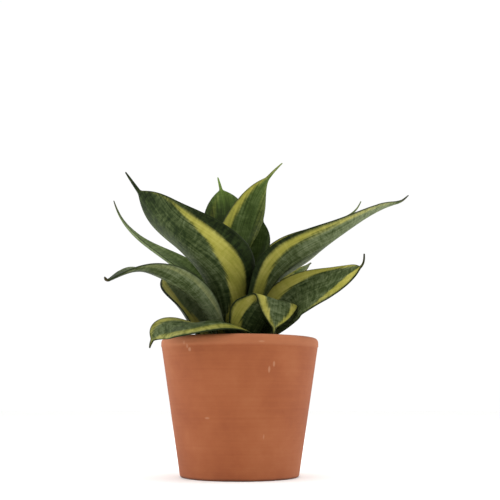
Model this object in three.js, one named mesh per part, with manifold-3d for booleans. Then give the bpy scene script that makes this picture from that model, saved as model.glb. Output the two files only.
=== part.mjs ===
// A bird's-nest snake plant in a plain terracotta pot.
// Sixteen broad, pointed leaves spiral out of a short underground stem, which stands in potting soil.
// Units are millimetres, +Z is up, and the origin is on the floor under the pot's axis.
import * as THREE from 'three';
import { mergeVertices } from 'three/addons/utils/BufferGeometryUtils.js';
import Module from 'manifold-3d';

const wasm = await Module();
wasm.setup();

// ---- pot -------------------------------------------------------------------------------------
const POT_HEIGHT = 103;
const POT_BASE_RADIUS = 44.5;
const POT_FOOT_ROUNDING = 1.8;
const RIM_RADIUS = 60;
const RIM_BAND_PROUD = 0.45;
const RIM_BAND_LOW = 96;
const RIM_BAND_HIGH = 99.6;
const RIM_TOP_OUTER = 56.6;
const RIM_TOP_INNER = 55.4;
const MOUTH_RADIUS = 54.2;
const MOUTH_DEPTH = 2.2;
const FLOOR_THICKNESS = 7;
const FLOOR_RADIUS = 38.6;
const INNER_CORNER = 4;
const DRAIN_RADIUS = 4.5;
const DRAIN_RING = 21;
const DRAIN_COUNT = 3;
const POT_SEGMENTS = 64;

// ---- soil and the plant's stem -----------------------------------------------------------------
const SOIL_SEGMENTS = 48;
const SOIL_TOP = 92;
const SOIL_EDGE_TOP = 90.5;
const SOIL_GAP = 0.4;
const SOIL_HOLE_RADIUS = 29.5;
const SOIL_HOLE_FLOOR = 82;
const CROWN_RADIUS = 29;
const CROWN_BOTTOM = 82.4;
const CROWN_SHOULDER = 92.2;
const CROWN_MIDDLE = 95.2;
const CROWN_TOP = 98.6;
const CROWN_SEGMENTS = 40;

// ---- leaves ------------------------------------------------------------------------------------
const BODY_STATIONS = 17;
const AWN_STATIONS = 3;
const FOLD_STATIONS = 6;
const ACROSS = [-1, -0.68, -0.34, 0, 0.34, 0.68, 1];
const HEEL_LENGTH = 9;
const SPINE_STEPS = 120;
const THICK_BASE = 2.3;
const THICK_TIP = 1.5;
const THICK_EDGE = 0.9;
const AWN_ROOT = 1.3;
const AWN_TIP = 0.35;
const AWN_TAPER = 0.8;
const AWN_THINNING = 0.42;
const AWN_SEAM = 0.15;
const HOOK_REACH = 1.1;
const APEX_CLOSING = 0.9;
const KEEL_SPAN = 1 / 6;
const BODY_CROWDING = 1.25;
const AWN_CROWDING = 1.3;
const LEAST_STEP = 0.006;
const LEAST_CURL = 0.001;
const GAP = 0.35;
const WELD = 1e-4;
const RAD = Math.PI / 180;

// Every leaf is one row. foot: distance from the pot's axis, compass angle and height of its base.
// rise and heading: the midrib's climb and compass angle in degrees, at equal steps to the tip.
// roll: turn of the blade about its midrib. cup: how far each half curls up. keel: crease at the
// midrib. shift: share by which the midrib lies off the middle. widest, base and taper shape the
// outline. awn: length of the drawn-out dry point. neck: half width of its root. hook: how far it
// curls up. fold: place, angle and length of a sharp bend over the lower face.
// The rows run from the leaves that keep their full shape to those that give way where two meet.
const LEAVES = [
  {
    name: 'leaf_left_tall', foot: [9, 259.5, 92], length: 173, width: 62, awn: 20, neck: 1.9,
    rise: [89.5, 67, 41, 39, 53.5, 54], heading: [246.5, 248.5, 207, 176, 172.5, 152],
    roll: [17, 29, 32, 35.5, 71], cup: [91.5, 72.5, 40.5, 17.5, 11], keel: 6,
    widest: 0.45, base: 0.45, taper: 3.5,
  },
  {
    name: 'leaf_right_long', foot: [16, -40.5, 92], length: 206, width: 49, awn: 16, neck: 2.6,
    hook: 28,
    rise: [95, 67, 29, 34.5, 25.5, 12.5], heading: [-29, 1.5, -23.5, 22, 40.5, 34.5],
    roll: [19, -13.5, -19, -9, -9], cup: [80, 43, 36.5, 51.5, 63], keel: 8,
    widest: 0.33, base: 0.45, taper: 1.5,
  },
  {
    name: 'leaf_centre', foot: [12, -86, 95], length: 155, width: 51, awn: 20, neck: 1.7,
    rise: [90, 85.5, 94, 74.5, 60.5, 36.5], heading: [-27, -23, -3, -18, -9, 58.5],
    roll: [-12, -22, -56, -54.5], cup: [126, 119, 74.5, 42, 37], keel: 8,
    widest: 0.39, base: 0.5, taper: 2.05,
  },
  {
    name: 'leaf_back_tall', foot: [7.5, 158.5, 95], length: 153.5, width: 46.5, awn: 14,
    rise: [90, 81, 79, 62, 60.5], heading: [126.5, 105.5, 100.5, 116.5],
    roll: [-5.5, -16.5, -15], cup: [108.5, 81, 49, 32], keel: 6,
    widest: 0.45, base: 0.5, taper: 3.2,
  },
  {
    name: 'leaf_right_open', foot: [17, -58, 90], length: 127.5, width: 48, awn: 11, neck: 1,
    hook: 62,
    rise: [67.5, 52, 47.5, 20.5, 13, 17, 28.5], heading: [4.5, -6, -29.5, -44, -69],
    roll: [38.5, 58.5, 61, 54, 48.5, 58, 95.5], cup: [70.5, 42.5, 15.5, -5.5, -9, 3], keel: 6,
    shift: 0.1, widest: 0.48, base: 0.48, taper: 2.35,
  },
  {
    name: 'leaf_front_folded', foot: [22.5, -80.5, 90], length: 76.5, width: 55, awn: 5,
    rise: [60.5, 55, 50.5, 79], heading: [-30, -40.5, -60], fold: [0.64, 142, 0.13],
    roll: [-5.5, -10.5, -32.5], cup: [90.5, 80, -15.5, 10.5], keel: 6,
    widest: 0.38, base: 0.63, taper: 1.6,
  },
  {
    name: 'leaf_left_arching', foot: [19, 213.5, 90], length: 148.5, width: 33, awn: 6.5,
    neck: 1.9, hook: 60,
    rise: [82.5, 57, 30, 7, -18, -19.5], heading: [217, 215.5, 232.5, 252],
    roll: [-16.5, -9.5, 10, 1.5, 10], cup: [89.5, 77, 58, 40.5, 38, 35.5], keel: 6,
    widest: 0.35, base: 0.52, taper: 1.3,
  },
  {
    name: 'leaf_left_short', foot: [22, 182.5, 90], length: 76, width: 39, awn: 6,
    rise: [60, 55.5, 53.5, 63], heading: [188.5, 208, 175.5],
    roll: [-22, -44.5, -41, -51.5], cup: [64, 34.5, 24, 15], keel: 6,
    widest: 0.57, base: 0.71, taper: 3.55,
  },
  {
    name: 'leaf_rim_draped', foot: [20, 270, 90], length: 96.5, width: 42.5, awn: 6,
    rise: [64.5, 30.5, -12, -6, -82.5], heading: [284.5, 216, 175.5, 208.5],
    roll: [-12, -10.5, -19.5, -68], cup: [-7, -20.5, 17], keel: 4,
    widest: 0.66, base: 0.82, taper: 2,
  },
  {
    name: 'leaf_back_right', foot: [6, 41, 95], length: 116, width: 34, awn: 10,
    rise: [89.5, 83.5, 71, 76.5, 85], heading: [40.5, 47.5, 65.5],
    roll: [-10, -1.5, 22], cup: [93.5, 68, 39, 30.5], keel: 6,
    widest: 0.45, base: 0.5, taper: 3,
  },
  {
    name: 'leaf_left_slender', foot: [11.5, 171, 92], length: 186, width: 29.5, awn: 14, neck: 1.7,
    rise: [79, 62, 38, 31, 42, 66.5], heading: [148, 146.5, 138.5],
    roll: [-10.5, -13.5, 37.5], cup: [92.5, 56.5, 43.5, 48.5], keel: 6,
    widest: 0.37, base: 0.5, taper: 1.35,
  },
  {
    name: 'leaf_right_short', foot: [20.5, 32.5, 90], length: 106, width: 33, awn: 6,
    rise: [70.5, 60, 45.5, 25], heading: [32.5, 44.5, 62],
    roll: [-7, -7, 2.5], cup: [87, 48, 27.5], keel: 8,
    widest: 0.45, base: 0.5, taper: 1.7,
  },
  {
    name: 'leaf_back_right_long', foot: [17, 68, 92], length: 188.5, width: 31.5, awn: 14, hook: 20,
    rise: [75.5, 70, 56, 29.5, 27.5, 45], heading: [50.5, 36.5, 10.5],
    roll: [29.5, 23.5, 2.5], cup: [76.5, 50, 48.5], keel: 8,
    widest: 0.35, base: 0.5, taper: 1.5,
  },
  {
    name: 'leaf_back_low', foot: [24, 88, 90], length: 128, width: 41, awn: 10,
    rise: [65, 52.5, 39.5, 27, 13], heading: [89.5, 84, 80.5],
    roll: [3, 2, 0], cup: [87, 59, 40, 30], keel: 6,
    widest: 0.45, base: 0.5, taper: 2.2,
  },
  {
    name: 'leaf_back_left', foot: [17.5, 85, 91], length: 135.5, width: 38.5, awn: 12,
    rise: [73, 64.5, 55.5, 47, 41.5], heading: [134.5, 126.5, 122.5],
    roll: [0], cup: [90, 65, 50, 40], keel: 6,
    widest: 0.45, base: 0.5, taper: 2.4,
  },
  {
    name: 'leaf_inner_furled', foot: [5, 224, 97], length: 89, width: 33, awn: 12,
    rise: [87, 88, 88, 90], heading: [90],
    roll: [0], cup: [160, 152, 142, 134], keel: 4,
    widest: 0.45, base: 0.5, taper: 2.4,
  },
];

// Value at s (0 to 1) of numbers given at equal steps, joined by a smooth curve through each.
function keyed(keys, s) {
  const last = keys.length - 1;
  if (last === 0) return keys[0];
  const x = Math.min(Math.max(s, 0), 1) * last;
  const i = Math.min(Math.floor(x), last - 1);
  const t = x - i;
  const b = keys[i];
  const c = keys[i + 1];
  const a = i > 0 ? keys[i - 1] : 2 * b - c;
  const d = i + 2 <= last ? keys[i + 2] : 2 * c - b;
  const quadratic = 2 * a - 5 * b + 4 * c - d;
  const cubic = 3 * b - a - 3 * c + d;
  return 0.5 * (2 * b + (c - a) * t + quadratic * t * t + cubic * t * t * t);
}

function clamp01(x) {
  return Math.min(Math.max(x, 0), 1);
}

function smooth(x) {
  const t = clamp01(x);
  return t * t * (3 - 2 * t);
}

// Climb of the midrib at s, with the dry point's hook on top.
function climb(leaf, s) {
  const share = leaf.awn / leaf.length;
  const hook = (leaf.hook ?? 0) * smooth((s - 1 + HOOK_REACH * share) / share);
  return (keyed(leaf.rise, s) + hook) * RAD;
}

// The blade's own axes at s: along it, out of its upper face, and across it.
function frame(leaf, s) {
  const e = climb(leaf, s);
  const h = keyed(leaf.heading, s) * RAD;
  const along = new THREE.Vector3(Math.cos(e) * Math.cos(h), Math.cos(e) * Math.sin(h), Math.sin(e));
  const up = new THREE.Vector3(-Math.sin(e) * Math.cos(h), -Math.sin(e) * Math.sin(h), Math.cos(e));
  const side = new THREE.Vector3().crossVectors(along, up);
  const roll = keyed(leaf.roll, s) * RAD;
  const face = up.clone().multiplyScalar(Math.cos(roll)).addScaledVector(side, Math.sin(roll));
  const across = side.clone().multiplyScalar(Math.cos(roll)).addScaledVector(up, -Math.sin(roll));
  if (leaf.fold) {
    const [at, angle, span] = leaf.fold;
    const bend = angle * RAD * smooth((s - at + span / 2) / span);
    const straight = along.clone();
    along.multiplyScalar(Math.cos(bend)).addScaledVector(face, -Math.sin(bend));
    face.multiplyScalar(Math.cos(bend)).addScaledVector(straight, Math.sin(bend));
  }
  return { along, face, across };
}

// Points along the midrib, summed up from short straight steps.
function midrib(leaf) {
  const [radius, angle, height] = leaf.foot;
  const step = leaf.length / SPINE_STEPS;
  const here = new THREE.Vector3(radius * Math.cos(angle * RAD), radius * Math.sin(angle * RAD), height);
  const points = [here.clone()];
  for (let i = 0; i < SPINE_STEPS; i += 1) {
    here.addScaledVector(frame(leaf, (i + 0.5) / SPINE_STEPS).along, step);
    points.push(here.clone());
  }
  return points;
}

// Half width at s: it swells to the widest place, closes to the apex, and goes on as a thin point.
function halfWidth(leaf, s) {
  const share = leaf.awn / leaf.length;
  const apex = 1 - share;
  const u = clamp01(s / apex);
  const swell = leaf.base + (1 - leaf.base) * smooth(u / leaf.widest);
  const t = clamp01((u - leaf.widest) / (1 - leaf.widest));
  const close = Math.pow(clamp01(1 - Math.pow(t, leaf.taper)), APEX_CLOSING);
  const blade = (leaf.width / 2) * swell * close;
  const root = leaf.neck ?? AWN_ROOT;
  const point = AWN_TIP + (root - AWN_TIP) * Math.pow(clamp01((1 - s) / share), AWN_TAPER);
  return Math.hypot(blade, s < apex - AWN_SEAM ? 0 : point);
}

// Half thickness: fleshy at the midrib and the base, thin at the margins and towards the point.
function halfThickness(leaf, s, v) {
  const share = leaf.awn / leaf.length;
  const beyond = clamp01((s - (1 - share)) / share);
  const flesh = THICK_BASE + (THICK_TIP - THICK_BASE) * clamp01(s);
  const middle = flesh * (1 - AWN_THINNING * beyond);
  const edge = Math.min(THICK_EDGE, middle);
  return (edge + (middle - edge) * (1 - v * v)) / 2;
}

// Stations along the leaf: the buried heel, the blade, the fold and the dry point.
function stations(leaf) {
  const apex = 1 - leaf.awn / leaf.length;
  const list = [-HEEL_LENGTH / leaf.length];
  for (let i = 0; i < BODY_STATIONS; i += 1) {
    const q = i / (BODY_STATIONS - 1);
    list.push(apex * (1 - Math.pow(1 - q, BODY_CROWDING)));
  }
  for (let i = 1; i <= AWN_STATIONS; i += 1) {
    list.push(apex + (1 - apex) * Math.pow(i / AWN_STATIONS, AWN_CROWDING));
  }
  if (leaf.fold) {
    const [at, , span] = leaf.fold;
    for (let i = 0; i < FOLD_STATIONS; i += 1) {
      list.push(at + span * ((i + 0.5) / FOLD_STATIONS - 0.5));
    }
  }
  list.sort((a, b) => a - b);
  return list.filter((s, i) => i === 0 || s - list[i - 1] > LEAST_STEP);
}

// A point of the blade at (s, v), off its middle surface by a signed distance.
function bladePoint(leaf, points, s, v, off, grow) {
  const inside = clamp01(s);
  const x = inside * SPINE_STEPS;
  const i = Math.min(Math.floor(x), SPINE_STEPS - 1);
  const centre = points[i].clone().lerp(points[i + 1], x - i);
  const { along, face, across } = frame(leaf, inside);
  if (s < 0) centre.addScaledVector(along, s * leaf.length);
  const sign = Math.sign(v);
  const t = Math.abs(v);
  const reach = halfWidth(leaf, inside) * (1 + (leaf.shift ?? 0) * sign) + grow;
  const crease = leaf.keel * RAD;
  let curl = keyed(leaf.cup, inside) * RAD;
  if (Math.abs(curl) < LEAST_CURL) curl = LEAST_CURL;
  const out = (reach * sign * (Math.sin(crease + curl * t) - Math.sin(crease))) / curl;
  const lift = (reach * (Math.cos(crease) - Math.cos(crease + curl * t))) / curl;
  const turn = crease * Math.min(1, t / KEEL_SPAN) + curl * t;
  centre.addScaledVector(across, out - off * Math.sin(turn) * sign);
  centre.addScaledVector(face, lift + off * Math.cos(turn));
  return centre;
}

// The closed blade: an upper and a lower grid, split alike, with a rim all round.
function bladeGeometry(leaf, grow) {
  const points = midrib(leaf);
  const rows = stations(leaf);
  const wide = ACROSS.length;
  const vertices = [];
  const index = [];
  for (const face of [1, -1]) {
    for (const s of rows) {
      for (const v of ACROSS) {
        const off = face * (halfThickness(leaf, s, v) + grow);
        const p = bladePoint(leaf, points, s, v, off, grow);
        vertices.push(p.x, p.y, p.z);
      }
    }
  }
  const lower = rows.length * wide;
  const at = (face, i, j) => face * lower + i * wide + j;
  const quad = (a, b, c, d) => {
    index.push(a, b, c, a, c, d);
  };
  for (let i = 0; i < rows.length - 1; i += 1) {
    for (let j = 0; j < wide - 1; j += 1) {
      const top = [at(0, i, j), at(0, i, j + 1), at(0, i + 1, j + 1), at(0, i + 1, j)];
      const low = [at(1, i, j), at(1, i + 1, j), at(1, i + 1, j + 1), at(1, i, j + 1)];
      index.push(top[0], top[2], top[1], top[0], top[3], top[2]);
      index.push(low[0], low[2], low[1], low[0], low[3], low[2]);
    }
    quad(at(0, i, 0), at(1, i, 0), at(1, i + 1, 0), at(0, i + 1, 0));
    quad(at(0, i, wide - 1), at(0, i + 1, wide - 1), at(1, i + 1, wide - 1), at(1, i, wide - 1));
  }
  const end = rows.length - 1;
  for (let j = 0; j < wide - 1; j += 1) {
    quad(at(0, 0, j), at(0, 0, j + 1), at(1, 0, j + 1), at(1, 0, j));
    quad(at(0, end, j), at(1, end, j), at(1, end, j + 1), at(0, end, j + 1));
  }
  const geometry = new THREE.BufferGeometry();
  geometry.setAttribute('position', new THREE.Float32BufferAttribute(vertices, 3));
  geometry.setIndex(index);
  return geometry;
}

// ---- solids ------------------------------------------------------------------------------------
function toSolid(source) {
  const bare = source.clone();
  bare.deleteAttribute('normal');
  bare.deleteAttribute('uv');
  const merged = mergeVertices(bare, WELD);
  const vertProperties = new Float32Array(merged.attributes.position.array);
  const triVerts = new Uint32Array(merged.index.array);
  const solid = new wasm.Manifold(new wasm.Mesh({ numProp: 3, vertProperties, triVerts }));
  if (solid.volume() >= 0) return solid;
  for (let i = 0; i < triVerts.length; i += 3) {
    const keep = triVerts[i];
    triVerts[i] = triVerts[i + 1];
    triVerts[i + 1] = keep;
  }
  return new wasm.Manifold(new wasm.Mesh({ numProp: 3, vertProperties, triVerts }));
}

function toGeometry(solid) {
  const mesh = solid.getMesh();
  const geometry = new THREE.BufferGeometry();
  geometry.setAttribute('position', new THREE.Float32BufferAttribute(mesh.vertProperties, 3));
  geometry.setIndex([...mesh.triVerts]);
  geometry.computeVertexNormals();
  return geometry;
}

function largestBody(solid) {
  const bodies = solid.decompose();
  bodies.sort((a, b) => b.volume() - a.volume());
  return bodies[0];
}

function turned(profile, segments) {
  return toSolid(new THREE.LatheGeometry(profile.map(([r, z]) => new THREE.Vector2(r, z)), segments));
}

// A turned solid stands up along +Y and is laid over onto +Z.
function upright(solid) {
  return solid.rotate([90, 0, 0]);
}

// ---- pot ---------------------------------------------------------------------------------------
function wallRadius(z) {
  const share = z / RIM_BAND_LOW;
  return POT_BASE_RADIUS + (RIM_RADIUS - RIM_BAND_PROUD - POT_BASE_RADIUS) * share;
}

// Radius and height of each corner, up the outside and down the inside. Odd tenths round the edges.
function potProfile() {
  const innerFoot = FLOOR_RADIUS - INNER_CORNER;
  return [
    [0, 0],
    [POT_BASE_RADIUS - POT_FOOT_ROUNDING, 0],
    [POT_BASE_RADIUS - 0.4, 0.5],
    [wallRadius(POT_FOOT_ROUNDING), POT_FOOT_ROUNDING],
    [wallRadius(RIM_BAND_LOW), RIM_BAND_LOW],
    [RIM_RADIUS - 0.08, RIM_BAND_LOW + 0.5],
    [RIM_RADIUS, RIM_BAND_HIGH],
    [RIM_RADIUS - 0.5, POT_HEIGHT - 1.7],
    [RIM_RADIUS - 1.6, POT_HEIGHT - 0.5],
    [RIM_TOP_OUTER, POT_HEIGHT],
    [RIM_TOP_INNER, POT_HEIGHT],
    [MOUTH_RADIUS + 0.3, POT_HEIGHT - 0.7],
    [MOUTH_RADIUS, POT_HEIGHT - MOUTH_DEPTH],
    [FLOOR_RADIUS + 0.4, FLOOR_THICKNESS + INNER_CORNER],
    [FLOOR_RADIUS - 1.2, FLOOR_THICKNESS + 1.2],
    [innerFoot, FLOOR_THICKNESS],
    [0, FLOOR_THICKNESS],
  ];
}

function potSolid() {
  let pot = upright(turned(potProfile(), POT_SEGMENTS));
  for (let i = 0; i < DRAIN_COUNT; i += 1) {
    const angle = (i / DRAIN_COUNT) * 2 * Math.PI + Math.PI / 2;
    const drill = new THREE.CylinderGeometry(DRAIN_RADIUS, DRAIN_RADIUS, FLOOR_THICKNESS * 3, 20);
    drill.rotateX(Math.PI / 2);
    drill.translate(DRAIN_RING * Math.cos(angle), DRAIN_RING * Math.sin(angle), 0);
    pot = pot.subtract(toSolid(drill));
  }
  return pot;
}

// ---- soil and crown, each also made a little larger as the space that it needs --------------------
function mouthRadiusAt(z) {
  const low = FLOOR_THICKNESS + INNER_CORNER;
  const high = POT_HEIGHT - MOUTH_DEPTH;
  const share = (z - low) / (high - low);
  return FLOOR_RADIUS + 0.4 + (MOUTH_RADIUS - FLOOR_RADIUS - 0.4) * share;
}

function soilSolid(grow) {
  const shy = SOIL_GAP + 0.1 - grow;
  const low = FLOOR_THICKNESS + INNER_CORNER;
  const profile = [
    [0, FLOOR_THICKNESS + SOIL_GAP],
    [FLOOR_RADIUS - INNER_CORNER - 0.4, FLOOR_THICKNESS + SOIL_GAP],
    [FLOOR_RADIUS - 1.6, FLOOR_THICKNESS + SOIL_GAP + 1.4],
    [mouthRadiusAt(low) - shy, low + 0.2],
    [mouthRadiusAt(SOIL_EDGE_TOP) - shy, SOIL_EDGE_TOP + grow],
    [46, SOIL_EDGE_TOP + 1 + grow],
    [36, SOIL_TOP + grow],
    [SOIL_HOLE_RADIUS - grow, SOIL_TOP + grow],
    [SOIL_HOLE_RADIUS - grow, SOIL_HOLE_FLOOR + grow],
    [0, SOIL_HOLE_FLOOR + grow],
  ];
  return upright(turned(profile, SOIL_SEGMENTS));
}

function crownSolid(grow) {
  const profile = [
    [0, CROWN_BOTTOM - grow],
    [CROWN_RADIUS - 2 + grow, CROWN_BOTTOM - grow],
    [CROWN_RADIUS + grow, CROWN_BOTTOM + 2],
    [CROWN_RADIUS + grow, CROWN_SHOULDER - 1 + grow],
    [CROWN_RADIUS - 1.5, CROWN_SHOULDER + grow],
    [20, CROWN_SHOULDER + 1 + grow],
    [14, CROWN_MIDDLE + grow],
    [7, CROWN_TOP + grow],
    [0, CROWN_TOP + 0.4 + grow],
  ];
  return upright(turned(profile, CROWN_SEGMENTS));
}

// ---- assembly ------------------------------------------------------------------------------------
const terracotta = () => new THREE.MeshStandardMaterial({ color: 0xb07455, roughness: 0.88, metalness: 0 });
const pottingSoil = () => new THREE.MeshStandardMaterial({ color: 0x2a211b, roughness: 0.98, metalness: 0 });
const stemFlesh = () => new THREE.MeshStandardMaterial({ color: 0x8a7a4a, roughness: 0.8, metalness: 0 });
const leafSkin = (color) => new THREE.MeshStandardMaterial({ color, roughness: 0.42, metalness: 0 });
const LEAF_GREENS = [0x4d5f3a, 0x5a6a3e, 0x48603c, 0x3f5632];

const plant = new THREE.Group();

function add(name, solid, material) {
  const mesh = new THREE.Mesh(toGeometry(solid), material);
  mesh.name = name;
  plant.add(mesh);
}

const pot = potSolid();
add('pot', pot, terracotta());
add('soil', soilSolid(0), pottingSoil());
add('crown', crownSolid(0), stemFlesh());

// Each leaf keeps a small gap to the stem, the soil, the pot and every leaf placed before it.
const taken = [crownSolid(GAP), soilSolid(GAP), potSpace()];

function potSpace() {
  const grown = potProfile().map(([r, z]) => [r, z]);
  for (const corner of grown) {
    const outer = corner[0] > MOUTH_RADIUS + 1.5;
    if (corner[1] >= POT_HEIGHT - MOUTH_DEPTH) corner[1] += GAP;
    if (corner[0] > 0 && corner[1] > FLOOR_THICKNESS) corner[0] += outer ? GAP : -GAP;
  }
  return upright(turned(grown, POT_SEGMENTS));
}

LEAVES.forEach((leaf, order) => {
  const whole = toSolid(bladeGeometry(leaf, 0));
  let blade = whole;
  for (const space of taken) {
    blade = blade.subtract(space);
  }
  blade = largestBody(blade);
  taken.push(toSolid(bladeGeometry(leaf, GAP)));
  add(leaf.name, blade, leafSkin(LEAF_GREENS[order % LEAF_GREENS.length]));
});

export default plant;
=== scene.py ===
"""A potted bird's-nest snake plant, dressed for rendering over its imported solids.

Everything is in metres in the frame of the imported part: +Z up, the origin on the floor under the
pot's axis, and -Y towards the viewer. Sizes are written in millimetres and scaled by MM.
"""
import sys

import logging
import math
import random
from dataclasses import dataclass
from enum import Enum
from typing import Any

import bmesh
import bpy
from bpy.types import Material, NodeSocket, NodeTree, Object
from mathutils import Matrix, Vector, noise


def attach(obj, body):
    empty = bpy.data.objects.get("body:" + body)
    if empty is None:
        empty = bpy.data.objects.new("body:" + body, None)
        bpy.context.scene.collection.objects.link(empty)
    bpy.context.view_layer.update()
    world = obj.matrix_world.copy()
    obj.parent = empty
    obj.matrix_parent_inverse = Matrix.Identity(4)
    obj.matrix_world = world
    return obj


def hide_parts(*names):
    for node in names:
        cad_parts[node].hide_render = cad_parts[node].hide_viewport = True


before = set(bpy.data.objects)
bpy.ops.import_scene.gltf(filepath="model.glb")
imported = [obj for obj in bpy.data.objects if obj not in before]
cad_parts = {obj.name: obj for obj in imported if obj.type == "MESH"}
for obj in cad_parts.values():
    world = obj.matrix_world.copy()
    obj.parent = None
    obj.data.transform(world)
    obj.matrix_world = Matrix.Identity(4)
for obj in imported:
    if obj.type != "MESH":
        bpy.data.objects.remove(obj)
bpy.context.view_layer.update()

LOG = logging.getLogger("snake_plant")
MM = 0.001
RAD = math.pi / 180
# Points of a mesh that are closer than this, in metres, are one.
WELD = 1e-6

Keys = tuple[float, ...]
Rows = tuple[tuple[float, float], ...]


# ---- small helpers ---------------------------------------------------------------------------------
def linear(code: str) -> tuple[float, float, float, float]:
    """Turn an sRGB hex colour into the linear colour that a shader reads.

    Args:
        code: Six hex digits, such as "b07455".

    Returns:
        Linear red, green, blue and an alpha of 1.
    """
    parts = [int(code[i : i + 2], 16) / 255 for i in (0, 2, 4)]
    light = [c / 12.92 if c <= 0.04045 else ((c + 0.055) / 1.055) ** 2.4 for c in parts]
    return (light[0], light[1], light[2], 1.0)


def add_node(
    tree: NodeTree, kind: str, inputs: dict[Any, Any] | None = None, out: int | str = 0, **settings: Any
) -> NodeSocket:
    """Add one node with its settings, values and links.

    Args:
        tree: Node tree that takes the node.
        kind: Blender's name of the node type, without the "ShaderNode" in front.
        inputs: For each input, by name or number, a value or the output socket to link.
        out: Name or number of the output that is handed back.
        settings: The node's own properties; stops gives a colour ramp's places and hex colours.

    Returns:
        That output of the new node.
    """
    node = tree.nodes.new("ShaderNode" + kind)
    stops = settings.pop("stops", None)
    for name, value in settings.items():
        setattr(node, name, value)
    if stops:
        ramp = node.color_ramp
        while len(ramp.elements) < len(stops):
            ramp.elements.new(0.5)
        for element, (place, code) in zip(ramp.elements, stops):
            element.position = place
            element.color = linear(code)
    for key, value in (inputs or {}).items():
        if isinstance(value, NodeSocket):
            tree.links.new(value, node.inputs[key])
        else:
            node.inputs[key].default_value = value
    return node.outputs[out]


def weigh(tree: NodeTree, *parts: tuple[NodeSocket, float]) -> NodeSocket:
    """Add patterns up, each by its weight.

    Args:
        tree: Node tree that takes the sum.
        parts: Each pattern with its weight.

    Returns:
        The weighted sum.
    """
    total = add_node(tree, "Math", {0: parts[0][0], 1: parts[0][1]}, operation="MULTIPLY")
    for part, weight in parts[1:]:
        total = add_node(tree, "Math", {0: part, 1: weight, 2: total}, operation="MULTIPLY_ADD")
    return total


def grain(
    tree: NodeTree, place: NodeSocket, size: Keys, detail: float, rough: float = 0.5, warp: float = 0.0
) -> NodeSocket:
    """Lay a cloudy noise in patches of a given size.

    Args:
        tree: Node tree that takes the noise.
        place: Coordinates that the noise follows.
        size: Size of the patches along each axis, in the unit of the coordinates.
        detail: Octaves of the noise.
        rough: How strong its finer octaves are.
        warp: How far it is distorted.

    Returns:
        The noise, mostly between 0.3 and 0.7.
    """
    space = add_node(tree, "Mapping", {"Vector": place, "Scale": tuple(1 / length for length in size)})
    values = {"Vector": space, "Scale": 1.0, "Detail": detail, "Roughness": rough, "Distortion": warp}
    return add_node(tree, "TexNoise", values)


def layer(tree: NodeTree, under: NodeSocket, *tops: tuple[NodeSocket, str]) -> NodeSocket:
    """Lay colours over one another.

    Args:
        tree: Node tree that takes the layers.
        under: The colour below.
        tops: For each layer, how much of it shows and its hex colour.

    Returns:
        The colour with every layer on it.
    """
    for share, code in tops:
        under = add_node(tree, "Mix", {0: share, 6: under, 7: linear(code)}, 2, data_type="RGBA")
    return under


def new_material(name: str) -> tuple[Material, NodeTree, NodeSocket]:
    """Make an empty node material.

    Args:
        name: What the real material is.

    Returns:
        The material, its node tree and the surface input of its output node.
    """
    material = bpy.data.materials.new(name)
    material.use_nodes = True
    tree = material.node_tree
    tree.nodes.clear()
    return material, tree, tree.nodes.new("ShaderNodeOutputMaterial").inputs[0]


def deselect_all() -> None:
    """Leave edit mode and deselect every object."""
    if bpy.context.mode != "OBJECT":
        bpy.ops.object.mode_set(mode="OBJECT")
    bpy.ops.object.select_all(action="DESELECT")


def take(piece: Object) -> None:
    """Make one object the only selected and the active one."""
    deselect_all()
    piece.select_set(True)
    bpy.context.view_layer.objects.active = piece


def apply_modifier(piece: Object, kind: str, **settings: Any) -> None:
    """Add a modifier to a piece and apply it.

    Args:
        piece: Object that takes the modifier.
        kind: Blender's name of the modifier type.
        settings: The modifier's properties.
    """
    take(piece)
    modifier = piece.modifiers.new(kind.title(), kind)
    for name, value in settings.items():
        setattr(modifier, name, value)
    bpy.ops.object.modifier_apply(modifier=modifier.name)


def settle(piece: Object) -> None:
    """Put a piece's place, turn and size into its mesh and close its seams with outward normals."""
    take(piece)
    bpy.ops.object.transform_apply(location=True, rotation=True, scale=True)
    bpy.ops.object.mode_set(mode="EDIT")
    bpy.ops.mesh.select_all(action="SELECT")
    bpy.ops.mesh.remove_doubles(threshold=WELD)
    bpy.ops.mesh.normals_make_consistent(inside=False)
    bpy.ops.object.mode_set(mode="OBJECT")


def draw_up(name: str, rows: list[tuple[float, float]], segments: int) -> Object:
    """Build a round piece from a disc that is drawn up ring by ring.

    Args:
        name: Name of the piece.
        rows: Radius and height of each ring in mm, from the disc underneath to the last cap.
        segments: Number of points on each ring.

    Returns:
        The closed piece.
    """
    radius, height = rows[0]
    deselect_all()
    bpy.ops.mesh.primitive_circle_add(
        vertices=segments, radius=radius * MM, fill_type="NGON", location=(0, 0, height * MM)
    )
    piece = bpy.context.active_object
    piece.name = name
    bpy.ops.object.transform_apply(location=True)
    bpy.ops.object.mode_set(mode="EDIT")
    bpy.ops.mesh.select_all(action="SELECT")
    for next_radius, next_height in rows[1:]:
        rise = (0, 0, (next_height - height) * MM)
        bpy.ops.mesh.extrude_region_move(TRANSFORM_OT_translate={"value": rise})
        share = next_radius / radius
        bpy.ops.transform.resize(value=(share, share, 1.0), center_override=(0, 0, next_height * MM))
        radius, height = next_radius, next_height
    bpy.ops.object.mode_set(mode="OBJECT")
    settle(piece)
    return piece


def smooth(x: float) -> float:
    """Return the smooth step of x between 0 and 1."""
    t = min(max(x, 0.0), 1.0)
    return t * t * (3 - 2 * t)


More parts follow.
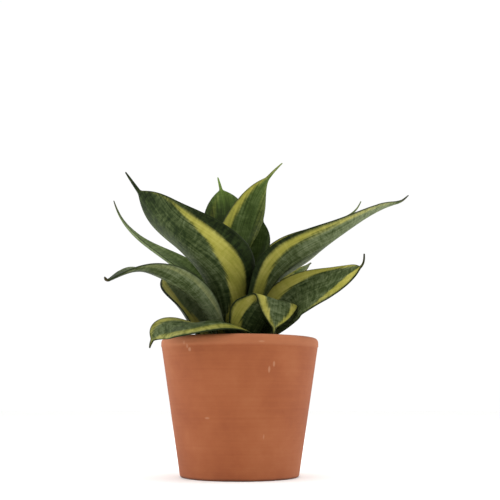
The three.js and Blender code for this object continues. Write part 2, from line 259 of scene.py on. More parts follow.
def keyed(keys: Keys, s: float) -> float:
    """Read a smooth curve, a Catmull-Rom spline, through numbers given at equal steps.

    Args:
        keys: Values at equal steps from 0 to 1.
        s: Where to read, from 0 to 1.

    Returns:
        The value at s.
    """
    last = len(keys) - 1
    if last == 0:
        return keys[0]
    x = min(max(s, 0.0), 1.0) * last
    i = min(int(x), last - 1)
    t = x - i
    b, c = keys[i], keys[i + 1]
    a = keys[i - 1] if i > 0 else 2 * b - c
    d = keys[i + 2] if i + 2 <= last else 2 * c - b
    return 0.5 * (2 * b + (c - a) * t + (2 * a - 5 * b + 4 * c - d) * t**2 + (3 * b - a - 3 * c + d) * t**3)


# ---- finishes ----------------------------------------------------------------------------------------
@dataclass(frozen=True)
class LimeMark:
    """One pale mark of dried lime on the pot's wall, by its compass angle, height and size in mm."""

    angle: float
    height: float
    wide: float
    tall: float
    strength: float


LIME_MARKS = (
    LimeMark(-132, 97.5, 1.4, 1.6, 0.4),
    LimeMark(-129.5, 95, 1.2, 2.0, 0.35),
    LimeMark(-127.5, 92.5, 1.4, 1.6, 0.5),
    LimeMark(-75, 97.5, 2.4, 0.7, 0.4),
    LimeMark(-65, 82, 0.9, 2.2, 0.4),
    LimeMark(-68.5, 78, 0.9, 2.6, 0.4),
    LimeMark(-116.5, 44, 2.2, 0.9, 0.35),
    LimeMark(-70, 31, 0.9, 3.0, 0.35),
)


@dataclass(frozen=True)
class Terracotta:
    """Unglazed fired clay, turned on a wheel and dried on its foot.

    To the eye it is matte and orange-brown, with fine level turning lines, slow cloudy changes of
    tone, a few pale lime marks, a rim rubbed paler by hands and a darker foot. In mm: cloud, line and
    grit are how wide the clouds, turning lines and sand grains are, turn is how long a line runs,
    damp and rubbed are the heights between which the foot and the rim change, stray is how far the
    foot's edge wanders, and relief is how deep the bump is.
    """

    clay: str = "914d24"
    pale: str = "9a5830"
    deep: str = "86421b"
    lime: str = "b98a6a"
    foot: str = "4c2716"
    worn: str = "b0714b"
    roughness: float = 0.9
    cloud: float = 35.714
    line: float = 1.42857
    turn: float = 71.43
    grit: float = 0.625
    foot_band: tuple[float, float] = (1.4, 3.0)
    stray: float = 2.0
    rubbed: tuple[float, float] = (94.5, 96.5)
    relief: float = 0.3
    marks: tuple[LimeMark, ...] = LIME_MARKS

    def build(self) -> Material:
        """Build the clay material on Object coordinates.

        Returns:
            The finished material.
        """
        material, tree, surface = new_material("unglazed_terracotta")
        place = add_node(tree, "TexCoord", out="Object")
        height = add_node(tree, "SeparateXYZ", {0: place}, out=2)
        clouds = grain(tree, place, (self.cloud * MM,) * 3, 4.0, 0.6)
        # Turning lines lie level, so their noise is squeezed up the wall and drawn out round it.
        turning = grain(tree, place, (self.turn * MM, self.turn * MM, self.line * MM), 3.0, 0.55)
        grit = grain(tree, place, (self.grit * MM,) * 3, 2.0)
        stops = ((0.32, self.deep), (0.5, self.clay), (0.7, self.pale))
        colour = add_node(tree, "ValToRGB", {0: weigh(tree, (clouds, 0.8), (turning, 0.2))}, stops=stops)
        speckle = add_node(tree, "MapRange", {0: grit, 1: 0.62, 2: 0.75, 3: 0.0, 4: 0.16})
        colour = layer(tree, colour, (speckle, self.deep), *self._lime_marks(tree, place, clouds))
        # The foot is darker in a thin band at the bottom, with a wandering edge.
        edge = add_node(tree, "Math", {0: clouds, 1: self.stray * MM, 2: height}, operation="MULTIPLY_ADD")
        low, high = self.foot_band
        foot_dark = add_node(tree, "MapRange", {0: edge, 1: low * MM, 2: high * MM, 3: 0.7, 4: 0.0})
        low, high = self.rubbed
        pale = add_node(tree, "MapRange", {0: height, 1: low * MM, 2: high * MM, 3: 0.0, 4: 0.35})
        colour = layer(tree, colour, (foot_dark, self.foot), (pale, self.worn))
        relief = add_node(tree, "Math", {0: turning, 1: grit}, operation="ADD")
        values = {"Strength": 0.12, "Distance": self.relief * MM, "Height": relief}
        bump = add_node(tree, "Bump", values)
        values = {"Base Color": colour, "Roughness": self.roughness, "IOR": 1.5, "Specular IOR Level": 0.62}
        shader = add_node(tree, "BsdfPrincipled", values | {"Normal": bump})
        tree.links.new(shader, surface)
        return material

    def _lime_marks(
        self, tree: NodeTree, place: NodeSocket, clouds: NodeSocket
    ) -> list[tuple[NodeSocket, str]]:
        """Find where the pale marks lie on the clay.

        Args:
            tree: Node tree of the clay.
            place: Object coordinates.
            clouds: Noise that frays the marks' edges.

        Returns:
            For each mark, how much of it shows and its colour.
        """
        covers = []
        for mark in self.marks:
            radius = POT.wall_radius(mark.height)
            turn = mark.angle * RAD
            centre = Vector((radius * math.cos(turn), radius * math.sin(turn), mark.height)) * MM
            scale = (mark.wide * MM, mark.wide * MM, mark.tall * MM)
            values = {"Vector": place, "Location": tuple(centre), "Scale": scale}
            shift = add_node(tree, "Mapping", values, vector_type="TEXTURE")
            near = add_node(tree, "VectorMath", {0: shift}, 1, operation="LENGTH")
            frayed = add_node(tree, "Math", {0: clouds, 1: 1.6, 2: near}, operation="MULTIPLY_ADD")
            values = {0: frayed, 1: 1.2, 2: 2.0, 3: mark.strength, 4: 0.0}
            covers.append((add_node(tree, "MapRange", values, interpolation_type="SMOOTHSTEP"), self.lime))
        return covers


@dataclass(frozen=True)
class PottingSoil:
    """Moist potting mix of peat and bark: nearly black, matte and crumbly, with browner patches.

    crumb, fibre and patch are the widths of the crumbs, the peat fibre and the patches in mm.
    """

    dark: str = "0d0c09"
    brown: str = "241c13"
    roughness: float = 0.96
    crumb: float = 2.5
    fibre: float = 0.6667
    patch: float = 6.25

    def build(self) -> Material:
        """Build the soil material on Object coordinates.

        Returns:
            The finished material.
        """
        material, tree, surface = new_material("moist_potting_mix")
        place = add_node(tree, "TexCoord", out="Object")
        crumbs = add_node(tree, "TexVoronoi", {"Vector": place, "Scale": 1 / (self.crumb * MM)}, "Distance")
        fibre = grain(tree, place, (self.fibre * MM,) * 3, 4.0)
        patches = grain(tree, place, (self.patch * MM,) * 3, 3.0)
        colour = add_node(tree, "ValToRGB", {0: patches}, stops=((0.38, self.dark), (0.68, self.brown)))
        relief = add_node(tree, "Math", {0: crumbs, 1: fibre}, operation="ADD")
        bump = add_node(tree, "Bump", {"Strength": 0.8, "Distance": 0.9 * MM, "Height": relief})
        values = {"Base Color": colour, "Roughness": self.roughness, "Specular IOR Level": 0.2}
        tree.links.new(add_node(tree, "BsdfPrincipled", values | {"Normal": bump}), surface)
        return material


@dataclass(frozen=True)
class StemFlesh:
    """The plant's short stem under old leaf bases: pale straw brown, matte, ringed with fibres.

    scar and ring are how far apart the level leaf scars lie and how far one runs, in mm.
    """

    straw: str = "8f7f4c"
    brown: str = "4a3d22"
    roughness: float = 0.8
    scar: float = 1.5385
    ring: float = 16.667

    def build(self) -> Material:
        """Build the stem material on Object coordinates.

        Returns:
            The finished material.
        """
        material, tree, surface = new_material("fibrous_plant_stem")
        place = add_node(tree, "TexCoord", out="Object")
        scars = grain(tree, place, (self.ring * MM, self.ring * MM, self.scar * MM), 4.0)
        colour = add_node(tree, "ValToRGB", {0: scars}, stops=((0.4, self.brown), (0.62, self.straw)))
        bump = add_node(tree, "Bump", {"Strength": 0.6, "Distance": 0.8 * MM, "Height": scars})
        values = {"Base Color": colour, "Roughness": self.roughness, "Normal": bump}
        tree.links.new(add_node(tree, "BsdfPrincipled", values), surface)
        return material


class Face(Enum):
    """The two faces of a leaf."""

    UPPER = "upper"
    OUTER = "outer"


@dataclass(frozen=True)
class LeafSkin:
    """Waxy skin of a succulent leaf: satin, dark green crossed by paler bars, with golden bands.

    The pattern follows the blade through four vector attributes, whose lengths are in mm. "blade" is
    the distance along the leaf, the distance across it and the distance to the margin. "gold_left"
    and "gold_right" are how far a place lies past a band's inner limit and short of its outer limit,
    and how strong the band is. "age" is how dry, how pale and how fresh the skin is.

    shade, deep, mid, pale and bloom are the greens from dark to light, fresh is the young green, edge
    the margin, golds the bands from dark to light and husk the dry point. shade also serves as the
    painted shade in the rosette's heart. mottle is the share of the cross bars in the pattern. streak,
    vein, bar and cloud are how long, wide and deep those patterns are. inner_edge, outer_edge and line
    are the distances over which a band and the dark margin line fade, fray is how far a band's edge
    wanders, heart, near and far place the painted shade in the middle, and relief is how deep the
    veins' bump is, all in mm.
    """

    face: Face
    shade: str
    deep: str
    mid: str
    pale: str
    bloom: str
    fresh: str
    edge: str
    mottle: float
    roughness: float
    golds: tuple[str, str, str, str] = ("7e7f36", "96923e", "a8a24f", "c2b968")
    husk: str = "4f4029"
    streak: Keys = (38.0, 1.8, 1.0)
    vein: Keys = (40.0, 0.8, 1.0)
    bar: Keys = (3.2, 8.0, 1.0)
    cloud: Keys = (30.0, 12.0, 1.0)
    inner_edge: tuple[float, float] = (-1.6, 2.0)
    outer_edge: tuple[float, float] = (-1.6, 1.8)
    line: tuple[float, float] = (0.35, 0.95)
    fray: float = 1.0
    heart: tuple[float, float, float] = (8.0, -15.0, 130.0)
    near: float = 12.0
    far: float = 62.0
    relief: float = 0.2

    def build(self) -> Material:
        """Build the skin of one face.

        Returns:
            The finished material.
        """
        material, tree, surface = new_material(f"waxy_leaf_{self.face.value}_skin")
        blade = add_node(tree, "Attribute", out="Vector", attribute_name="blade")
        along, across, margin = add_node(tree, "SeparateXYZ", {0: blade}).node.outputs
        age = add_node(tree, "Attribute", out="Vector", attribute_name="age")
        dry, pale, fresh = add_node(tree, "SeparateXYZ", {0: age}).node.outputs
        flat = add_node(tree, "CombineXYZ", {0: along, 1: across, 2: 0.0})
        streaks = grain(tree, flat, self.streak, 3.0, 0.6, 0.5)
        veins = grain(tree, flat, self.vein, 2.0, 0.6, 0.3)
        bars = grain(tree, flat, self.bar, 4.0, 0.6, 1.0)
        clouds = grain(tree, flat, self.cloud, 2.0, 0.6)
        tone = weigh(tree, (bars, self.mottle), (streaks, 0.8 - self.mottle), (clouds, 0.2))
        tone = add_node(tree, "Math", {0: tone, 1: pale}, operation="ADD")
        greens = (self.shade, self.deep, self.mid, self.pale, self.bloom)
        stops = tuple(zip((0.33, 0.45, 0.55, 0.7, 0.92), greens))
        body = add_node(tree, "ValToRGB", {0: tone}, stops=stops)
        lively = add_node(tree, "Math", {0: streaks, 1: fresh}, operation="MULTIPLY")
        lively = add_node(tree, "Math", {0: lively, 1: 1.7}, operation="MULTIPLY", use_clamp=True)
        colour = layer(tree, body, (lively, self.fresh))
        # The bands' edges wander along with the streaks and clouds.
        wander = weigh(tree, (streaks, 0.6), (clouds, 0.4))
        fray = add_node(tree, "MapRange", {0: wander, 1: 0.35, 2: 0.65, 3: -self.fray, 4: self.fray})
        tone = weigh(tree, (streaks, 0.35), (bars, 0.25), (clouds, 0.4), (pale, 0.7))
        golds = add_node(tree, "ValToRGB", {0: tone}, stops=tuple(zip((0.38, 0.5, 0.62, 0.8), self.golds)))
        stops = ((0.4, self.shade), (0.5, self.edge), (0.62, self.deep))
        strip = add_node(tree, "ValToRGB", {0: weigh(tree, (bars, 0.7), (streaks, 0.3))}, stops=stops)
        ragged = weigh(tree, (streaks, 0.6), (bars, 0.4))
        ragged = add_node(tree, "MapRange", {0: ragged, 1: 0.32, 2: 0.68, 3: -1.4, 4: 1.4})
        for name in ("gold_left", "gold_right"):
            colour = self._band(tree, name, (fray, ragged), (golds, strip), colour)
        # The dry point is straw brown, a thin dark line runs along the margin, and painted shade darkens the
        # skin towards the rosette's heart.
        line = add_node(tree, "MapRange", {0: margin, 1: self.line[0], 2: self.line[1], 3: 0.85, 4: 0.0})
        line = add_node(tree, "Math", {0: line, 1: fresh}, operation="SUBTRACT", use_clamp=True)
        colour = layer(tree, colour, (dry, self.husk), (line, self.edge), (self._painted_shade(tree), self.shade))
        values = {0: bars, 1: 0.3, 2: 0.7, 3: self.roughness - 0.06, 4: self.roughness + 0.06}
        rough = add_node(tree, "MapRange", values)
        bump = add_node(tree, "Bump", {"Strength": 0.1, "Distance": self.relief * MM, "Height": veins})
        # The thin bloom of wax dulls the skin's mirror, so only a broad soft gloss is left.
        values = {"Base Color": colour, "Roughness": rough, "IOR": 1.45, "Specular IOR Level": 0.035}
        shader = add_node(tree, "BsdfPrincipled", values | {"Normal": bump})
        tree.links.new(shader, surface)
        return material

    def _painted_shade(self, tree: NodeTree) -> NodeSocket:
        """Paint shade over the crowded middle of the rosette, where the leaves shade one another.

        Args:
            tree: Node tree of the skin.

        Returns:
            How deep the painted shade is, more towards the rosette's heart.
        """
        # Painted shade: the skin darkens the nearer it lies to a point in the rosette's heart.
        place = add_node(tree, "TexCoord", out="Object")
        heart = tuple(Vector(self.heart) * MM)
        away = add_node(tree, "VectorMath", {0: place, 1: heart}, 1, operation="DISTANCE")
        values = {0: away, 1: self.near * MM, 2: self.far * MM, 3: 0.42, 4: 0.0}
        return add_node(tree, "MapRange", values, interpolation_type="SMOOTHSTEP")

    def _band(
        self,
        tree: NodeTree,
        name: str,
        grains: tuple[NodeSocket, NodeSocket],
        tones: tuple[NodeSocket, NodeSocket],
        colour: NodeSocket,
    ) -> NodeSocket:
        """Lay one golden band over the skin, with the dark green strip outside it.

        Args:
            tree: Node tree of the skin.
            name: Attribute of the band.
            grains: How far the band's edges wander in mm, and how it breaks up where it is faint.
            tones: Colours of the band and of the dark strip.
            colour: The skin's colour so far.

        Returns:
            The colour with the band on it.
        """
        fray, ragged = grains
        where = add_node(tree, "Attribute", out="Vector", attribute_name=name)
        inner, outer, strength = add_node(tree, "SeparateXYZ", {0: where}).node.outputs
        past = add_node(tree, "Math", {0: inner, 1: fray}, operation="ADD")
        values = {0: past, 1: self.inner_edge[0], 2: self.inner_edge[1]}
        past = add_node(tree, "MapRange", values, interpolation_type="SMOOTHSTEP")
        short = add_node(tree, "Math", {0: outer, 1: fray}, operation="SUBTRACT")
        values = {0: short, 1: self.outer_edge[0], 2: self.outer_edge[1]}
        short = add_node(tree, "MapRange", values, interpolation_type="SMOOTHSTEP")
        beyond = add_node(tree, "Math", {0: 1.0, 1: short}, operation="SUBTRACT")
        beyond = add_node(tree, "Math", {0: beyond, 1: strength}, operation="MULTIPLY")
        colour = add_node(tree, "Mix", {0: beyond, 6: colour, 7: tones[1]}, 2, data_type="RGBA")
        band = add_node(tree, "Math", {0: past, 1: short}, operation="MULTIPLY")
        band = add_node(tree, "Math", {0: band, 1: strength}, operation="MULTIPLY")
        # Where the band is neither full nor gone, streaks and bars of green break it up.
        lack = add_node(tree, "Math", {0: 1.0, 1: band}, operation="SUBTRACT")
        lack = add_node(tree, "Math", {0: lack, 1: band}, operation="MULTIPLY")
        band = add_node(tree, "Math", {0: lack, 1: ragged, 2: band}, operation="MULTIPLY_ADD")
        return add_node(tree, "Mix", {0: band, 6: colour, 7: tones[0]}, 2, data_type="RGBA")


UPPER_SKIN = LeafSkin(
    Face.UPPER, shade="10170a", deep="263217", mid="414c2c", pale="6b7553", bloom="8e9775",
    fresh="667f34", edge="1b240f", mottle=0.5, roughness=0.42,
)
OUTER_SKIN = LeafSkin(
    Face.OUTER, shade="121a0b", deep="2a361a", mid="475231", pale="717b5a", bloom="939c7c",
    fresh="688138", edge="1e2711", mottle=0.4, roughness=0.46,
)


# ---- pot ---------------------------------------------------------------------------------------------
@dataclass
class Pot:
    """The tapered clay pot, with all sizes in mm.

    The curves are the rounded edges: foot_curve steps in from the base and up, band_curve in from
    the rim and up from the band, rim_curve in from the rim and down from the top, mouth_curve out
    from the mouth and down from the top. swell is how uneven the fired wall is, swells counts its
    waves in a metre along each axis, and nearer the axis and lower than even_radius and even_height
    the pot stays even.
    """

    height: float = 103.0
    base_radius: float = 44.5
    rim_radius: float = 60.0
    band_proud: float = 0.45
    band_low: float = 96.0
    band_high: float = 99.6
    top_outer: float = 56.6
    top_inner: float = 55.4
    mouth_radius: float = 54.2
    mouth_depth: float = 2.2
    floor_thickness: float = 7.0
    floor_radius: float = 38.6
    inner_corner: float = 4.0
    corner_flare: float = 0.4
    corner_cut: float = 1.2
    foot_curve: Rows = ((1.8, 0.0), (0.75, 0.28), (0.1, 0.85))
    band_curve: Rows = ((0.14, 0.35), (0.0, 1.2))
    rim_curve: Rows = ((0.2, 2.4), (0.65, 1.5), (1.35, 0.7), (2.2, 0.25))
    mouth_curve: Rows = ((0.55, 0.4), (0.12, 1.1))
    wall_rings: Keys = (1.8, 3, 8, 16, 24, 32, 40, 48, 56, 64, 72, 80, 88, 94)
    inner_rings: Keys = (92, 75, 55, 35, 18)
    drain_radius: float = 4.5
    drain_ring: float = 21.0
    drains: int = 3
    drain_sides: int = 28
    swell: float = 0.14
    swells: Keys = (30, 30, 45)
    even_radius: float = 30.0
    even_height: float = 1.0
    segments: int = 160

    def wall_radius(self, z: float) -> float:
        """Return the outer radius of the wall at a height below the rim band."""
        return self.base_radius + (self.rim_radius - self.band_proud - self.base_radius) * z / self.band_low

    def mouth_at(self, z: float) -> float:
        """Return the inner radius at a height above the inner corner."""
        low = self.floor_thickness + self.inner_corner
        share = (z - low) / (self.height - self.mouth_depth - low)
        foot = self.floor_radius + self.corner_flare
        return foot + (self.mouth_radius - foot) * share

    def profile(self) -> list[tuple[float, float]]:
        """List the wall's section as radius and height, from the foot round the rim to the floor."""
        floor, top = self.floor_thickness, self.height
        rows = [(self.base_radius - inset, z) for inset, z in self.foot_curve]
        rows += [(self.wall_radius(z), z) for z in (*self.wall_rings, self.band_low)]
        rows += [(self.rim_radius - inset, self.band_low + up) for inset, up in self.band_curve]
        rows += [(self.rim_radius, self.band_high)]
        rows += [(self.rim_radius - inset, top - down) for inset, down in self.rim_curve]
        rows += [(self.top_outer, top), (self.top_inner, top)]
        rows += [(self.mouth_radius + outset, top - down) for outset, down in self.mouth_curve]
        rows += [(self.mouth_radius, top - self.mouth_depth)]
        rows += [(self.mouth_at(z), z) for z in self.inner_rings]
        rows += [(self.floor_radius + self.corner_flare, floor + self.inner_corner)]
        rows += [(self.floor_radius - self.corner_cut, floor + self.corner_cut)]
        rows += [(self.floor_radius - self.inner_corner, floor)]
        return rows

    def build(self, clay: Material) -> Object:
        """Throw the pot: a disc drawn up, over the rim and down to the floor, then drilled.

        Args:
            clay: Material of the whole pot.

        Returns:
            The finished pot.
        """
        pot = draw_up("pot_clay", self.profile(), self.segments)
        self._drill(pot)
        self._hand(pot)
        pot.data.materials.append(clay)
        take(pot)
        bpy.ops.object.shade_smooth_by_angle(angle=50 * RAD)
        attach(pot, "root")
        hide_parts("pot")
        return pot

    def _drill(self, pot: Object) -> None:
        """Cut the drainage holes through the floor."""
        for i in range(self.drains):
            angle = i / self.drains * 2 * math.pi + math.pi / 2
            deselect_all()
            bpy.ops.mesh.primitive_cylinder_add(
                vertices=self.drain_sides,
                radius=self.drain_radius * MM,
                depth=self.floor_thickness * 3 * MM,
                location=(self.drain_ring * math.cos(angle) * MM, self.drain_ring * math.sin(angle) * MM, 0),
            )
            drill = bpy.context.active_object
            apply_modifier(pot, "BOOLEAN", operation="DIFFERENCE", solver="EXACT", object=drill)
            bpy.data.objects.remove(drill, do_unlink=True)

    def _hand(self, pot: Object) -> None:
        """Give the wall the slight unevenness of a fired pot, which only ever takes clay away."""
        for vertex in pot.data.vertices:
            p = vertex.co
            flat = Vector((p.x, p.y, 0))
            if flat.length < self.even_radius * MM or p.z < self.even_height * MM:
                continue
            swell = noise.noise(p * Vector(self.swells)) * self.swell * MM
            vertex.co = p - flat.normalized() * abs(swell)


POT = Pot()


# ---- soil and stem -------------------------------------------------------------------------------------
@dataclass
class Soil:
    """The potting soil round the stem, with all sizes in mm.

    lift keeps it off the pot's floor and gap off its wall, and corner rounds its lower edge in and
    up. The top rises to a low mound within 1/slope of its width and has lumps, so many in a metre,
    sunk a little and cut off at a limit. The crumbs lie in a ring from near to far, sunk a little
    and raised by a share of their size. Each is a multiple of its size long and high, and its
    corners are worn by a share of it.
    """

    top: float = 92.0
    edge_top: float = 90.5
    lift: float = 0.4
    gap: float = 0.5
    corner: tuple[float, float] = (1.6, 1.4)
    hole_radius: float = 29.5
    hole_lip: float = 87.0
    hole_floor: float = 82.0
    side_rings: Keys = (11.2, 40, 70, 86)
    top_rings: int = 14
    slope: float = 1.5
    lump: float = 0.9
    lumps: float = 210.0
    lump_sink: float = 0.3
    lump_limit: float = 0.5
    near: float = 30.5
    far: float = 50.5
    crumbs: int = 420
    crumb_sizes: Keys = (0.5, 0.7, 0.9, 1.2, 1.6)
    crumb_length: tuple[float, float] = (0.8, 1.5)
    crumb_height: tuple[float, float] = (0.5, 0.8)
    crumb_wear: float = 0.12
    crumb_sink: float = 0.1
    crumb_rise: float = 0.15
    segments: int = 128

    def build(self, mix: Material) -> list[Object]:
        """Build the body of soil and the loose crumbs on it.

        Args:
            mix: Material of the soil.

        Returns:
            The soil and the crumbs.
        """
        body = self._body()
        loose = self._crumbs()
        for piece in (body, loose):
            piece.data.materials.append(mix)
            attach(piece, "root")
            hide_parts("soil")
        return [body, loose]

    def _body(self) -> Object:
        """Draw the soil up from the pot's floor and roughen its top.

        Returns:
            The body of soil.
        """
        floor = POT.floor_thickness + self.lift
        rows = [(POT.floor_radius - POT.inner_corner - self.lift, floor)]
        rows += [(POT.floor_radius - self.corner[0], floor + self.corner[1])]
        rows += [(POT.mouth_at(z) - self.gap, z) for z in (*self.side_rings, self.edge_top)]
        rim = rows[-1][0]
        for i in range(1, self.top_rings + 1):
            radius = rim + (self.hole_radius - rim) * i / self.top_rings
            mound = smooth(i / self.top_rings * self.slope)
            rows.append((radius, self.edge_top + (self.top - self.edge_top) * mound))
        rows += [(self.hole_radius, self.hole_lip), (self.hole_radius, self.hole_floor)]
        soil = draw_up("soil_body", rows, self.segments)
        for vertex in soil.data.vertices:
            p = vertex.co
            if p.z > (self.edge_top - 0.2) * MM:
                lump = noise.fractal(p * self.lumps, 0.8, 2.0, 3) * self.lump - self.lump_sink
                vertex.co.z = min(p.z + lump * MM, (self.top + self.lump_limit) * MM)
        take(soil)
        bpy.ops.object.shade_smooth_by_angle(angle=60 * RAD)
        return soil

    def _crumbs(self) -> Object:
        """Scatter small crumbs of peat and bark over the open ring of soil.

        Returns:
            All crumbs in one mesh.
        """
        dice = random.Random(8)
        deselect_all()
        bpy.ops.mesh.primitive_ico_sphere_add(subdivisions=1, radius=1.0, location=(0, 0, 0))
        pattern = bpy.context.active_object
        build = bmesh.new()
        for _ in range(self.crumbs):
            angle = dice.uniform(0, 2 * math.pi)
            radius = math.sqrt(dice.uniform(self.near**2, self.far**2))
            size = dice.choice(self.crumb_sizes)
            mound = smooth((self.far - radius) / (self.far - self.near) * self.slope)
            height = self.edge_top + (self.top - self.edge_top) * mound
            height += size * self.crumb_rise - self.crumb_sink
            turn = Matrix.Rotation(dice.uniform(0, 6.28), 4, Vector((dice.random(), dice.random(), 0.3)))
            length = size * dice.uniform(*self.crumb_length)
            stretch = Matrix.Diagonal((length, size, size * dice.uniform(*self.crumb_height), 1.0))
            place = Matrix.Translation((radius * math.cos(angle), radius * math.sin(angle), height))
            start = len(build.verts)
            build.from_mesh(pattern.data)
            build.verts.ensure_lookup_table()
            fresh = build.verts[start:]
            bmesh.ops.transform(build, matrix=Matrix.Scale(MM, 4) @ place @ turn @ stretch, verts=fresh)
            for vertex in fresh:
                wear = Vector((dice.uniform(-1, 1), dice.uniform(-1, 1), dice.uniform(-1, 1)))
                vertex.co += wear * size * self.crumb_wear * MM
        build.to_mesh(pattern.data)
        build.free()
        pattern.name = "soil_crumbs"
        return pattern


@dataclass
class Crown:
    """The short stem that every leaf grows from, with all sizes in mm.

    mound lists the radius and height of each ring of its domed top, rib is how deep the old leaf
    scars in it are, and ribs counts them in a metre.
    """

    radius: float = 29.0
    bottom: float = 82.4
    shoulder: float = 92.2
    chamfer: float = 2.0
    mound: Rows = (
        (27.5, 92.2), (24.0, 92.7), (20.0, 93.2), (17.0, 94.1),
        (14.0, 95.2), (10.5, 97.1), (7.0, 98.6), (3.5, 98.9),
    )
    rib: float = 0.6
    ribs: float = 260.0
    segments: int = 96

    def build(self, flesh: Material) -> Object:
        """Build the stem with its uneven, ringed top.

        Args:
            flesh: Material of the stem.

        Returns:
            The stem.
        """
        rows = [(self.radius - self.chamfer, self.bottom), (self.radius, self.bottom + self.chamfer)]
        rows += [(self.radius, self.shoulder - 1), *self.mound]
        crown = draw_up("crown_stem", rows, self.segments)
        for vertex in crown.data.vertices:
            p = vertex.co
            if p.z > (self.shoulder - 2) * MM:
                vertex.co.z = p.z - abs(noise.noise(p * self.ribs)) * self.rib * MM
        crown.data.materials.append(flesh)
        take(crown)
        bpy.ops.object.shade_smooth_by_angle(angle=60 * RAD)
        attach(crown, "root")
        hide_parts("crown")
        return crown


# ---- leaves --------------------------------------------------------------------------------------------
@dataclass(frozen=True)
class Band:
    """A golden band that runs along the blade, keyed at equal steps from the base to the tip.

    inner and outer are its limits across the blade, where -1 and 1 are the margins and 0 is the
    midrib, and strength is how golden it is. Outside its outer limit the skin is dark green.
    """

    inner: Keys
    outer: Keys
    strength: Keys = (1.0,)

    def note(self, s: float, v: float, half: float) -> list[float]:
        """Say how a place on the blade lies to the band.

        Args:
            s: Share of the length.
            v: Share of the half width.
            half: Half width in mm.

        Returns:
            Distance past the inner limit and short of the outer limit in mm, and the strength.
        """
        inner, outer = keyed(self.inner, s), keyed(self.outer, s)
        side = 1.0 if outer > inner else -1.0
        strength = min(max(keyed(self.strength, s), 0.0), 1.0)
        return [(v - inner) * side * half, (outer - v) * side * half, strength]


LEFT_BAND = Band((-0.5, -0.55, -0.62, -0.66, -0.62), (-0.9, -0.92, -0.93, -0.93, -0.9), (1, 1, 1, 0.9, 0.3))
RIGHT_BAND = Band((0.5, 0.55, 0.62, 0.66, 0.62), (0.9, 0.92, 0.93, 0.93, 0.9), (1, 1, 1, 0.9, 0.3))
NO_BAND = Band((0.7,), (0.9,), (0.0,))

# The dry point, in shares of its own length: where its hook and its brown begin before the apex, how
# long the brown takes to come on, how fast it narrows, and how much thinner than the blade it gets.
HOOK_REACH = 1.1
DRY_REACH = 0.9
DRY_SPAN = 0.5
AWN_TAPER = 0.8
AWN_THINNING = 0.42
# The point's outline blends into the blade's from this share of the leaf before the apex.
AWN_SEAM = 0.15
# Power with which the blade's outline closes to the apex.
APEX_CLOSING = 0.9
# Curls below this, in radians, count as this, so that none divides by nothing.
LEAST_CURL = 0.001
# Rows of the grid: even places to choose from, their crowding to the tip and at a fold, and the
# fold's reach in shares of its span.
SPREAD_STEPS = 400
TIP_CROWDING = 1.3
FOLD_CROWDING = 3.0
FOLD_REACH = 0.6
# The skin's pattern starts 3 mm further on for each degree of the foot's angle, so no leaves match.
PATTERN_STEP = 3
# The paler margins leave the mean tone alone at this square of the share of the half width.
BRIGHT_PIVOT = 0.3
# Where along the blade its upper face is looked for.
PROBE = 0.3


